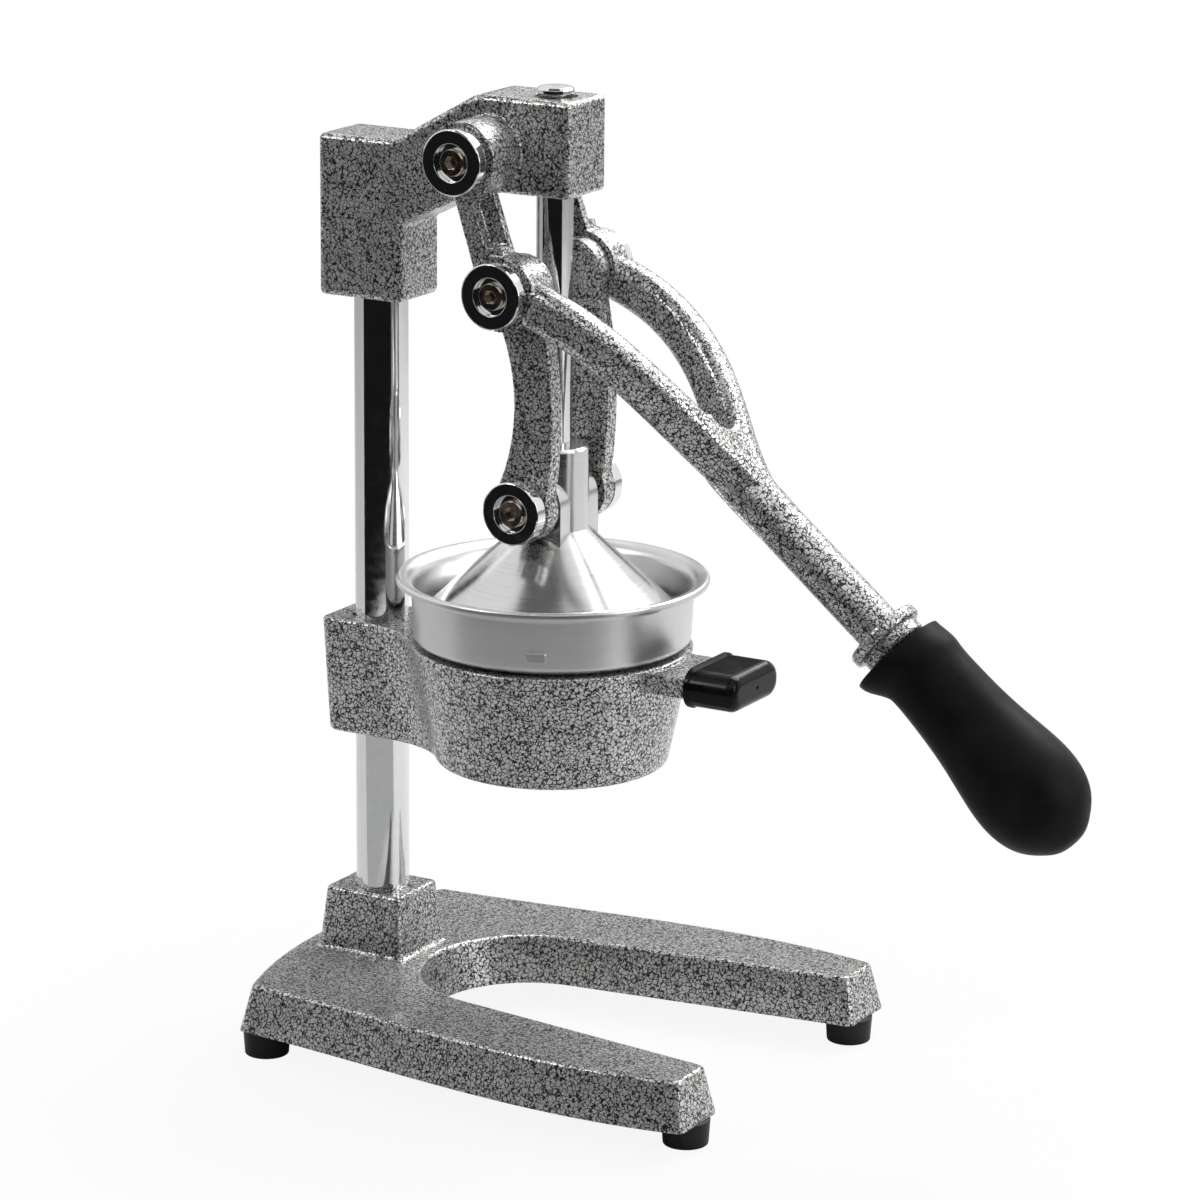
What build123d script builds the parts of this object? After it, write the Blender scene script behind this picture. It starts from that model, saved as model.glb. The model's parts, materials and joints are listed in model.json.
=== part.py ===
from build123d import *
import os
from math import cos, radians, sin, sqrt, tan

# Lever citrus juice press: a U-shaped cast base carries a chrome post. A cast bracket on the
# post holds the juice cup, and a cast head on top guides the rod of the press cone. A forked
# lever turns on the head and pushes the cone down through two curved links.
# Millimetres, +Z up, +X towards the handle, origin on the table under the middle of the press.
# "Right" is the -Y side and "left" is the +Y side.

# ------------------------------------------------------------------ layout
post_x = -145.5            # axis of the post
press_reach = 83.2         # post axis to press axis
press_x = post_x + press_reach
slip = 0.05                # radial clearance of a shaft or post in its bore
seat = 0.01                # radial clearance of a pressed or screwed joint
running = 0.2              # side clearance beside a part that turns

# base casting
foot_height = 10.5         # table to underside of the base
base_thickness = 20.0
base_draft = 4.0           # how far the underside stands out past the top, all round
base_rear = 30.5           # post axis to the rear edge
base_corner = (-17.0, 75.5)      # rear corner: distance ahead of the post, half width
base_shoulder = (50.0, 83.2)
base_widest = (112.0, 89.8)
base_front = (192.0, 84.5)       # front end of a leg, outer corner
base_edge = 1.6            # rounding of the top edges
base_corner_round = 4.0
bay_centre = 73.0          # post axis to the centre of the round end of the glass bay
bay_radius = 46.0
bay_splay = 7.3            # each leg's inner side opens by this angle, degrees
pocket_wall = 7.0
pocket_depth = 13.0
pocket_reach = (24.0, 168.0)     # start and end of the pockets ahead of the post

# post socket on the base
socket_height = 26.6
socket_top = (36.4, 32.0)
socket_foot = (41.9, 37.0)
socket_shift = -0.7        # centre of the socket ahead of the post axis
socket_round = 3.0
socket_blend = 2.0
socket_chamfer = 1.2

# post and its bolt
post_d = 22.5
post_end_chamfer = 1.0
bolt_recess_d = 26.0
bolt_recess = 10.5
web_thickness = 4.0        # metal between the bolt recess and the end of the post
bolt_d = 10.0
bolt_length = 26.0
bolt_head_flats = 17.0
bolt_head_height = 6.4
washer_d = 21.0
washer_thickness = 2.0

# rubber feet
foot_d = 19.8
foot_bottom_d = 18.4
foot_recess_d = 9.0
foot_recess = 4.5
foot_rear = -12.6          # ahead of the post
foot_front = 188.2
foot_half = 71.0           # half the spacing across the base
foot_screw_d = 4.8
foot_screw_head_d = 8.0
foot_screw_head = 2.6
foot_screw_length = 14.0

# cup bracket
bracket_bottom = 126.0
bracket_top = 176.0
bracket_draft = 2.0        # the clamp block is this much narrower at the bottom
clamp_rear = 20.0
clamp_half = 17.5
clamp_round = 4.0
neck_radius = 42.0
ring_top_r = 58.5
ring_bottom_r = 48.2
ring_bore_top_r = 50.0
ring_bore_bottom_r = 40.0
bracket_lower_edge = 3.0
bracket_upper_edge = 1.2
tab_half = 18.0
tab_thickness = 8.0
tab_drop = 1.4             # tab top below the bracket top
tab_end = 175.3            # ahead of the post
clamp_notch = (5.0, 6.0)   # width and depth of the casting notch beside the post
clamp_notch_angle = 215.0
set_screw_d = 8.0
set_screw_length = 7.0
set_screw_hex = 4.0
set_screw_hex_depth = 3.0

# soft sleeve on the tab
sleeve_start = 156.2
sleeve_end = 179.3
sleeve_half = 20.0
sleeve_height = 15.4
sleeve_round = 0.47        # corner rounding, as a share of the height
sleeve_end_round = 4.4
sleeve_lip = 0.7
sleeve_lip_width = 2.0
sleeve_vent_d = 1.8
sleeve_vent_depth = 1.5

# juice cup
sheet = 1.0                # thickness of the stainless sheet
cup_rim_r = 64.7
cup_rim_z = 205.0
cup_flare = 6.0            # radius of the rolled-out lip
cup_hem = 2.4
cup_hem_round = 1.3
cup_wall_top_r = 58.6
cup_wall_foot_r = 57.4
cup_foot_bend = 2.4
cup_seat_r = 52.0          # where the cup's floor meets the bracket ring
cup_floor_slope = 24.0
spout_r = 12.0
spout_drop = 12.0
spout_round = 2.0
cup_lug_width = 8.5
cup_lug_height = 4.6
cup_lug_depth = 1.6
cup_lug_rise = 3.0         # lug bottom above the foot of the wall
cup_lug_angle = -66.0      # about the press axis, from +X
cup_lug_round = 1.4

# strainer cone inside the cup
strainer_rim_r = 53.5
strainer_valley_r = 45.0
strainer_peak_z = 212.0
strainer_peak_round = 8.0
slot_length = 6.5
slot_width = 2.4
slot_count = 16
slot_rings = (22.0, 34.0)

# press cone
neck_r = 14.6
neck_top = 260.0
neck_chamfer = 1.2
cone_shoulder = (16.5, 223.5)    # radius and height where the cone leaves the neck
cone_rim = (50.0, 192.6)
cone_skirt_r = 52.0
cone_bottom = 186.0
cone_wall = 3.2
lug_half = 15.3            # half the width across the two flat lugs
lug_r = 12.4
rod_seat_depth = 13.0

# guide rod
rod_d = 15.0
rod_rise = 3.8             # rod top above the head
rod_end_chamfer = 1.0
rod_groove_drop = (5.2, 2.6)     # lower and upper edge of the groove, below the rod top
rod_groove_d = 10.4

# head casting
head_half = 15.15
head_rear = 21.0
head_block_front = 18.8
head_top = 403.2
head_height = 89.8         # top of the nose to the bottom of the rear block
head_rise = 22.4           # top of the nose above the rear block
head_step_height = 32.6    # where the arm's underside leaves the rear block, above its bottom
head_arm = (46.0, 46.1)    # ahead of the post, above the bottom of the rear block
head_nose_start = 66.0
head_nose_front = 98.2
nose_height = 39.2
ramp_start = 15.0
ramp_end = 54.5
ramp_round = 12.0
head_step_round = 6.0
head_side_round = 2.4      # rounding of all outer edges
post_cover = 9.0           # metal over the end of the post
bushing_d = 18.0
bushing_inset = 1.0
head_screw_pitch = 34.0

# pivots: upper = lever on head, middle = link on lever, lower = link on press cone
upper_pivot = (62.1, 22.7)       # ahead of the post, below the top of the head
middle_pivot = (80.3, 52.3)      # ahead of the post, below the upper pivot
lower_pivot_z = 237.2
pin_d = 12.0
head_boss_r = 14.6
head_boss_flare = 1.4      # hollow blend at the root of a boss
head_boss_half = 27.2
lever_eye_r = 15.5
lever_eye_inner = 27.5
lever_eye_outer = 38.5
link_eye_r = 13.5
link_inner = 18.7
link_outer = 26.7
link_boss = 0.5
cap_d = 27.0
lower_cap_d = 26.2
cap_thickness = 7.6
cap_recess_d = 15.6
cap_recess = 2.6
cap_edge = 0.5
cap_step = 1.4             # smaller ring at the back of a cap
cap_step_r = 0.7
cap_clearance = 0.5        # around a cap in its spot face
screw_d = 6.0
screw_length = 13.0
screw_head_d = 11.5
screw_head = 2.2
screw_hex = 5.0
screw_hex_depth = 2.0

# lower link
link_front_bulge = (97.7, -3.2)  # ahead of the post, above the middle of the link
link_rear_bulge = (80.0, -0.7)
link_eye_angle = 25.0
link_rear_angle = 35.0
link_edge = 0.8
spacer_d = 20.0

# lever
upper_arm_front = 6.3      # from the line between the two pivots to the arm's front edge
upper_arm_rear = (8.6, 9.8)      # to its rear edge, at the upper and at the middle pivot
upper_arm_inner = 28.6
upper_arm_outer = 37.4
upper_arm_edge = 1.0       # rounding of the outer edges
upper_arm_rib = 1.2        # from the same line back to the rib along the rear edge
upper_arm_web = 3.4        # thickness in front of the rib
upper_arm_collar = (0.8, 3.2)    # full thickness left around the upper and the middle eye
upper_arm_corner = 3.0
arm_stations = (           # ahead of the post, half spacing, below the middle pivot, depth, thickness
    (85.0, 32.5, 1.4, 17.0, 10.0),
    (107.6, 33.2, 9.8, 18.4, 13.0),
    (133.2, 27.8, 27.2, 18.4, 13.6),
    (152.4, 16.8, 48.2, 18.8, 13.0),
    (166.4, 5.6, 66.0, 19.0, 13.0),
)
arm_round = 0.42           # corner rounding, as a share of the thickness
arm_drop = 22.0            # slope of the arm where it leaves the middle eye, degrees
arm_merge = (22.0, 2.0, 16.6, 11.6)  # end inside the shaft: along it, half spacing, depth, thickness
crotch = (-13.8, 14.8)     # saddle between the arms: along the shaft, above its axis
crotch_slope = 14.0        # slope of its top, steeper than the shaft by this, degrees
crotch_outline = (         # along its top, half width
    (-8.0, 14.4),
    (0.0, 10.4),
    (8.0, 6.4),
    (14.0, 4.0),
    (20.0, 2.7),
)
crotch_r = 8.0             # scoop where the arms part
crotch_depth = 17.4
crotch_edge = 2.4
shaft_start = (167.4, 71.1)      # start of the round shaft, ahead of the post, below the middle pivot
handle_angle = 39.4        # shaft below the horizontal, degrees
shaft_start_r = 10.0
shaft_nose = 15.0          # rounded start of the shaft, between the arms
shaft_r = 9.9
shaft_end_r = 9.8
shaft_waist = 22.0
collar_start = 86.6
collar_r = 16.2
collar_width = 5.2
second_collar_r = 13.6
second_collar_width = 5.6
collar_bead = 1.5
tang_r = 7.0
tang_length = 80.0

# grip, which sits a little steeper than the shaft and above its axis
grip_angle = 42.2
grip_lift = 2.9
grip_gap = 0.8             # between the second collar and the grip
grip_flare = (             # along the grip, offset from its axis, radius
    (0.0, -4.2, 20.0),
    (3.5, -3.4, 19.8),
    (7.5, -1.6, 18.9),
    (12.5, 0.0, 17.6),
)
grip_profile = (           # along the grip, radius
    (12.5, 17.6),
    (22.5, 17.5),
    (42.5, 18.9),
    (57.5, 21.1),
    (72.5, 22.9),
    (82.5, 22.1),
    (92.5, 17.8),
    (99.0, 11.2),
    (102.7, 0.0),
)

# ------------------------------------------------------------------ derived places
base_top = foot_height + base_thickness
socket_z = base_top + socket_height
post_bottom = foot_height + bolt_recess + web_thickness
head_bottom = head_top - head_height
head_rear_top = head_top - head_rise
head_nose_bottom = head_top - nose_height
head_step = head_bottom + head_step_height
head_arm_z = head_bottom + head_arm[1]
post_top = head_rear_top - post_cover
rod_top = head_top + rod_rise
rod_groove = (rod_top - rod_groove_drop[0], rod_top - rod_groove_drop[1])
press_axis = Axis((press_x, 0, 0), (0, 0, 1))
upper_x = post_x + upper_pivot[0]
upper_z = head_top - upper_pivot[1]
middle_x = post_x + middle_pivot[0]
middle_z = upper_z - middle_pivot[1]
link_middle_z = (middle_z + lower_pivot_z) / 2
tab_top = bracket_top - tab_drop
tab_mid = tab_top - tab_thickness / 2
floor_rise = tan(radians(cup_floor_slope))
handle_direction = Vector(cos(radians(handle_angle)), 0, -sin(radians(handle_angle)))
shaft_origin = Vector(post_x + shaft_start[0], 0, middle_z - shaft_start[1])
shaft_plane = Plane(origin=shaft_origin, x_dir=handle_direction, z_dir=(0, -1, 0))
shaft_axis = Axis(shaft_origin, handle_direction)
collar_end = collar_start + collar_width
shaft_length = collar_end + second_collar_width
shaft_up = Vector(sin(radians(handle_angle)), 0, cos(radians(handle_angle)))
grip_origin = shaft_origin + handle_direction * (shaft_length + grip_gap) + shaft_up * grip_lift
grip_direction = Vector(cos(radians(grip_angle)), 0, -sin(radians(grip_angle)))
grip_plane = Plane(origin=grip_origin, x_dir=grip_direction, z_dir=(0, -1, 0))
grip_axis = Axis(grip_origin, grip_direction)


def right_plane(distance):
    """A plane across the press, at -Y, that faces outwards on the right side."""
    return Plane.XZ.offset(distance)


def base_point(place, grow=0.0, side=1):
    """A corner of the base's outline, grown outwards."""
    return (post_x + place[0], side * (place[1] + grow))


def base_outline(height, grow):
    """The U-shaped plan of the base, grown by the draft, at a height."""
    splay = radians(bay_splay)
    radius = bay_radius - grow
    front = base_front[0] + grow
    centre = post_x + bay_centre
    tangent = (centre - radius * sin(splay), radius * cos(splay))
    inner = (post_x + front, tangent[1] + (post_x + front - tangent[0]) * tan(splay))
    corner = (base_corner[0] - grow, base_corner[1])
    with BuildSketch(Plane.XY.offset(height)) as plan:
        with BuildLine():
            ThreePointArc(
                base_point(corner, grow, -1), (post_x - base_rear - grow, 0), base_point(corner, grow)
            )
            for side in (1, -1):
                Spline(
                    base_point(corner, grow, side),
                    base_point(base_shoulder, grow, side),
                    base_point(base_widest, grow, side),
                    base_point((front, base_front[1]), grow, side),
                )
                Line(base_point((front, base_front[1]), grow, side), (inner[0], side * inner[1]))
                Line((inner[0], side * inner[1]), (tangent[0], side * tangent[1]))
            ThreePointArc(
                (tangent[0], tangent[1]), (centre - radius, 0), (tangent[0], -tangent[1])
            )
        make_face()
    return plan.sketch


# ------------------------------------------------------------------ base casting
with BuildPart() as base_casting:
    add(base_outline(foot_height, base_draft))
    add(base_outline(base_top, 0.0))
    loft(ruled=True)
    upright = base_casting.edges().filter_by(lambda e: abs(e.tangent_at(0.5).Z) > 0.7)
    fillet(upright, base_corner_round)
    fillet(base_casting.faces().sort_by(Axis.Z)[-1].edges(), base_edge)

    # sand-cast pockets in the underside, clear of the feet and of the post socket
    with BuildSketch(Plane.XY.offset(foot_height)) as pockets:
        add(base_outline(foot_height, -pocket_wall).face())
        with Locations((post_x + sum(pocket_reach) / 2, 0)):
            Rectangle(
                pocket_reach[1] - pocket_reach[0], 2 * base_widest[1], mode=Mode.INTERSECT
            )
    extrude(amount=pocket_depth, mode=Mode.SUBTRACT)

    # tapered socket for the post
    with BuildSketch(Plane.XY.offset(base_top - 1)):
        with Locations((post_x + socket_shift, 0)):
            RectangleRounded(*socket_foot, socket_round)
    with BuildSketch(Plane.XY.offset(socket_z)):
        with Locations((post_x + socket_shift, 0)):
            RectangleRounded(*socket_top, socket_round)
    loft(ruled=True)
    socket_centre = Vertex(post_x + socket_shift, 0, base_top)
    socket_foot_edges = base_casting.edges().filter_by(
        lambda e: abs(e.center().Z - base_top) < 0.01 and e.distance_to(socket_centre) < bay_centre / 2
    )
    fillet(socket_foot_edges, socket_blend)
    fillet(base_casting.faces().sort_by(Axis.Z)[-1].edges(), base_edge)

    # bore for the post, and the bolt hole and recess below it
    with BuildSketch(Plane.XY.offset(post_bottom)):
        with Locations((post_x, 0)):
            Circle(post_d / 2 + slip)
    extrude(amount=socket_z - post_bottom + 1, mode=Mode.SUBTRACT)
    bore_mouth = base_casting.edges().filter_by(GeomType.CIRCLE).group_by(Axis.Z)[-1]
    chamfer(bore_mouth, socket_chamfer)
    with BuildSketch(Plane.XY.offset(foot_height)):
        with Locations((post_x, 0)):
            Circle(bolt_recess_d / 2)
    extrude(amount=bolt_recess, mode=Mode.SUBTRACT)
    with BuildSketch(Plane.XY.offset(foot_height + bolt_recess)):
        with Locations((post_x, 0)):
            Circle(bolt_d / 2 + slip)
    extrude(amount=web_thickness, mode=Mode.SUBTRACT)

    # screw holes for the feet
    foot_places = [
        (post_x + along, side * foot_half) for along in (foot_rear, foot_front) for side in (-1, 1)
    ]
    with BuildSketch(Plane.XY.offset(foot_height)):
        with Locations(*foot_places):
            Circle(foot_screw_d / 2 + seat)
    extrude(amount=foot_screw_length - (foot_height - foot_recess) + 1, mode=Mode.SUBTRACT)
base_casting.part.label = "base_casting"

# ------------------------------------------------------------------ rubber feet and their screws
feet = {}
foot_names = ("foot_rear_right", "foot_rear_left", "foot_front_right", "foot_front_left")
for foot_name, place in zip(foot_names, foot_places):
    with BuildPart() as foot:
        with BuildSketch(Plane.XY.offset(foot_height)):
            with Locations(place):
                Circle(foot_d / 2)
        with BuildSketch(Plane.XY):
            with Locations(place):
                Circle(foot_bottom_d / 2)
        loft()
        fillet(foot.edges().group_by(Axis.Z)[0], 0.8)
        with BuildSketch(Plane.XY):
            with Locations(place):
                Circle(foot_recess_d / 2)
        extrude(amount=foot_recess, mode=Mode.SUBTRACT)
        with BuildSketch(Plane.XY.offset(foot_recess)):
            with Locations(place):
                Circle(foot_screw_d / 2 + seat)
        extrude(amount=foot_height - foot_recess, mode=Mode.SUBTRACT)
    foot.part.label = foot_name
    feet[foot_name] = foot

with BuildPart() as foot_screws:
    with BuildSketch(Plane.XY.offset(foot_recess - foot_screw_head)):
        with Locations(*foot_places):
            Circle(foot_screw_head_d / 2)
    extrude(amount=foot_screw_head)
    chamfer(foot_screws.edges().group_by(Axis.Z)[0], 0.8)
    with BuildSketch(Plane.XY.offset(foot_recess)):
        with Locations(*foot_places):
            Circle(foot_screw_d / 2)
    extrude(amount=foot_screw_length)
foot_screws.part.label = "foot_screws"

# ------------------------------------------------------------------ post, bolt and washer
with BuildPart() as post:
    with BuildSketch(Plane.XY.offset(post_bottom)):
        with Locations((post_x, 0)):
            Circle(post_d / 2)
    extrude(amount=post_top - post_bottom)
    chamfer(post.edges(), post_end_chamfer)
    with BuildSketch(Plane.XY.offset(post_bottom)):
        with Locations((post_x, 0)):
            Circle(bolt_d / 2 + seat)
    extrude(amount=bolt_length, mode=Mode.SUBTRACT)
post.part.label = "post"

washer_bottom = foot_height + bolt_recess - washer_thickness
with BuildPart() as post_washer:
    with BuildSketch(Plane.XY.offset(washer_bottom)):
        with Locations((post_x, 0)):
            Circle(washer_d / 2)
            Circle(bolt_d / 2 + slip, mode=Mode.SUBTRACT)
    extrude(amount=washer_thickness)
post_washer.part.label = "post_washer"

with BuildPart() as post_bolt:
    with BuildSketch(Plane.XY.offset(washer_bottom - bolt_head_height)):
        with Locations((post_x, 0)):
            RegularPolygon(bolt_head_flats / 2, 6, major_radius=False)
    extrude(amount=bolt_head_height)
    with BuildSketch(Plane.XY.offset(washer_bottom)):
        with Locations((post_x, 0)):
            Circle(bolt_d / 2)
    extrude(amount=bolt_length)
post_bolt.part.label = "post_bolt"


# ------------------------------------------------------------------ cup bracket
def bracket_outline(height, clamp_inset, ring_r):
    """Plan of the bracket: a clamp block, a waisted neck and the cup ring."""
    rear = post_x - clamp_rear + clamp_inset
    half = clamp_half - clamp_inset
    neck_x = press_x - sqrt((ring_r + neck_radius) ** 2 - (half + neck_radius) ** 2)
    to_neck = Vector(neck_x - press_x, half + neck_radius).normalized()
    ring_touch = Vector(press_x, 0) + to_neck * ring_r
    neck_centre = Vector(neck_x, half + neck_radius)
    midway = (Vector(0, -1) - to_neck).normalized()
    bend = neck_centre + midway * neck_radius
    with BuildSketch(Plane.XY.offset(height)) as plan:
        with BuildLine():
            for side in (1, -1):
                Line((rear, 0), (rear, side * (half - clamp_round)))
                ThreePointArc(
                    (rear, side * (half - clamp_round)),
                    (
                        rear + clamp_round * (1 - sqrt(0.5)),
                        side * (half - clamp_round * (1 - sqrt(0.5))),
                    ),
                    (rear + clamp_round, side * half),
                )
                Line((rear + clamp_round, side * half), (neck_x, side * half))
                ThreePointArc(
                    (neck_x, side * half),
                    (bend.X, side * bend.Y),
                    (ring_touch.X, side * ring_touch.Y),
                )
                ThreePointArc(
                    (ring_touch.X, side * ring_touch.Y),
                    (press_x, side * ring_r),
                    (press_x + ring_r, 0),
                )
        make_face()
    return plan.sketch


with BuildPart() as cup_bracket:
    add(bracket_outline(bracket_bottom, bracket_draft, ring_bottom_r))
    add(bracket_outline(bracket_top, 0.0, ring_top_r))
    loft(ruled=True)

    # flat tab at the front, under the soft sleeve
    tab_root = press_reach + ring_bottom_r
    with BuildSketch(Plane.XY.offset(tab_top - tab_thickness)):
        with Locations((post_x + (tab_root + tab_end) / 2, 0)):
            Rectangle(tab_end - tab_root, 2 * tab_half)
    extrude(amount=tab_thickness)

    # tapered hole of the ring, with a conical seat for the cup
    ring_seat_z = bracket_top - (cup_seat_r - ring_bore_top_r) * floor_rise
    with BuildSketch(Plane.XZ):
        with BuildLine():
            Polyline(
                (press_x, bracket_bottom - 1),
                (press_x + ring_bore_bottom_r, bracket_bottom - 1),
                (press_x + ring_bore_bottom_r, bracket_bottom),
                (press_x + ring_bore_top_r, ring_seat_z),
                (press_x + cup_seat_r, bracket_top),
                (press_x + cup_seat_r, bracket_top + 1),
                (press_x, bracket_top + 1),
                close=True,
            )
        make_face()
    revolve(axis=press_axis, mode=Mode.SUBTRACT)

    # bore for the post, and the small notch beside it
    with BuildSketch(Plane.XY.offset(bracket_bottom)):
        with Locations((post_x, 0)):
            Circle(post_d / 2 + slip)
    extrude(amount=bracket_top - bracket_bottom, mode=Mode.SUBTRACT)
    with BuildSketch(Plane.XY.offset(bracket_top)):
        with Locations((post_x, 0)):
            with PolarLocations(post_d / 2, 1, start_angle=clamp_notch_angle):
                Rectangle(clamp_notch[0] / 2, clamp_notch[0])
    extrude(amount=-clamp_notch[1], mode=Mode.SUBTRACT)

    # threaded hole for the set screw, in the rear of the clamp block
    bracket_screw_z = (bracket_top + bracket_bottom) / 2
    with BuildSketch(Plane(origin=(post_x, 0, bracket_screw_z), z_dir=(-1, 0, 0))):
        Circle(set_screw_d / 2 + seat)
    extrude(amount=clamp_rear + 1, mode=Mode.SUBTRACT)
    lower_rim = cup_bracket.edges().filter_by_position(
        Axis.Z, bracket_bottom - 0.01, bracket_bottom + 0.01
    ).filter_by(lambda e: e.distance_to(Vertex(post_x, 0, bracket_bottom)) > post_d / 2 + 1)
    lower_outer = lower_rim.filter_by(
        lambda e: e.distance_to(Vertex(press_x, 0, bracket_bottom)) > ring_bore_bottom_r + 1
    )
    fillet(lower_outer, bracket_lower_edge)
    bracket_top_face = cup_bracket.faces().filter_by(Axis.Z).sort_by(Axis.Z)[-1]
    fillet(bracket_top_face.outer_wire().edges(), bracket_upper_edge)
cup_bracket.part.label = "cup_bracket"


def set_screws(heights):
    """Grub screws in the rear of a block, tight against the post."""
    tip = post_x - post_d / 2
    with BuildPart() as screws:
        for height in heights:
            with BuildSketch(Plane(origin=(tip, 0, height), z_dir=(-1, 0, 0))):
                Circle(set_screw_d / 2)
            extrude(amount=set_screw_length)
            with BuildSketch(Plane(origin=(tip - set_screw_length, 0, height), z_dir=(1, 0, 0))):
                RegularPolygon(set_screw_hex / 2, 6, major_radius=False)
            extrude(amount=set_screw_hex_depth, mode=Mode.SUBTRACT)
    return screws


bracket_set_screw = set_screws([bracket_screw_z])
bracket_set_screw.part.label = "bracket_set_screw"

# ------------------------------------------------------------------ sleeve on the tab
sleeve_face = Plane(origin=(post_x + sleeve_start, 0, tab_mid), x_dir=(0, 1, 0), z_dir=(1, 0, 0))
with BuildPart() as tab_sleeve:
    sleeve_corner = sleeve_round * sleeve_height
    with BuildSketch(sleeve_face):
        RectangleRounded(2 * sleeve_half, sleeve_height, sleeve_corner)
    extrude(amount=sleeve_end - sleeve_start)
    fillet(tab_sleeve.faces().sort_by(Axis.X)[-1].edges(), sleeve_end_round)
    with BuildSketch(sleeve_face):
        RectangleRounded(
            2 * (sleeve_half + sleeve_lip), sleeve_height + 2 * sleeve_lip, sleeve_corner + sleeve_lip
        )
    extrude(amount=sleeve_lip_width)
    fillet(tab_sleeve.faces().sort_by(Axis.X)[0].outer_wire().edges(), sleeve_lip * 0.6)
    with BuildSketch(sleeve_face):
        Rectangle(2 * (tab_half + seat), tab_thickness + 2 * seat)
    extrude(amount=tab_end - sleeve_start + seat, mode=Mode.SUBTRACT)
    with BuildSketch(sleeve_face.offset(sleeve_end - sleeve_start)):
        Circle(sleeve_vent_d / 2)
    extrude(amount=-sleeve_vent_depth, mode=Mode.SUBTRACT)
tab_sleeve.part.label = "tab_sleeve"


# ------------------------------------------------------------------ juice cup and strainer
def pressed_sheet(points, bends):
    """A round pressing in sheet metal: its upper face follows the points, bent at each corner."""
    with BuildPart() as pressing:
        with BuildSketch(Plane.XZ):
            with BuildLine():
                FilletPolyline(*[(press_x + r, z) for r, z in points], radius=bends)
                offset(amount=sheet, side=Side.RIGHT)
            make_face()
        revolve(axis=press_axis)
    return pressing.part


def floor_height(radius, layers):
    """Height over the bracket's conical seat at a radius, on top of so many sheets."""
    return bracket_top + (radius - cup_seat_r) * floor_rise + layers * sheet / cos(
        radians(cup_floor_slope)
    )


spout_inner_r = spout_r - sheet
cup_inner_foot_r = cup_wall_foot_r - sheet
lug_bearing = radians(cup_lug_angle)
lug_direction = Vector(cos(lug_bearing), sin(lug_bearing), 0)
lug_base = Vector(press_x, 0, floor_height(cup_wall_foot_r, 1) + cup_lug_rise + cup_lug_height / 2)
with BuildPart() as juice_cup:
    add(
        pressed_sheet(
            [
                (spout_inner_r, floor_height(spout_inner_r, 1) - spout_drop),
                (spout_inner_r, floor_height(spout_inner_r, 1)),
                (cup_inner_foot_r, floor_height(cup_inner_foot_r, 1)),
                (cup_wall_top_r - sheet, cup_rim_z),
                (cup_rim_r, cup_rim_z),
                (cup_rim_r, cup_rim_z - cup_hem),
            ],
            [spout_round, cup_foot_bend, cup_flare, cup_hem_round],
        )
    )
    # pressed lug low on the wall, which keeps the cup from turning
    lug_face = Plane(
        origin=lug_base + lug_direction * (cup_wall_foot_r - sheet / 2),
        x_dir=(-sin(lug_bearing), cos(lug_bearing), 0),
        z_dir=lug_direction,
    )
    with BuildSketch(lug_face):
        RectangleRounded(cup_lug_width, cup_lug_height, cup_lug_round)
    extrude(amount=cup_lug_depth + sheet / 2, taper=12)
juice_cup.part.label = "juice_cup"

with BuildPart() as strainer_cone:
    add(
        pressed_sheet(
            [
                (0.0, strainer_peak_z),
                (strainer_peak_round, strainer_peak_z),
                (strainer_valley_r, floor_height(strainer_valley_r, 2)),
                (strainer_rim_r, floor_height(strainer_rim_r, 2)),
            ],
            [strainer_peak_round * 0.8, strainer_peak_round * 0.4],
        )
    )
    for ring, radius in enumerate(slot_rings):
        with BuildSketch(Plane.XY.offset(strainer_peak_z)):
            with Locations((press_x, 0)):
                with PolarLocations(radius, slot_count, start_angle=ring * 180 / slot_count):
                    SlotOverall(slot_length, slot_width)
        extrude(amount=-strainer_peak_z / 4, mode=Mode.SUBTRACT)
strainer_cone.part.label = "strainer_cone"

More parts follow.
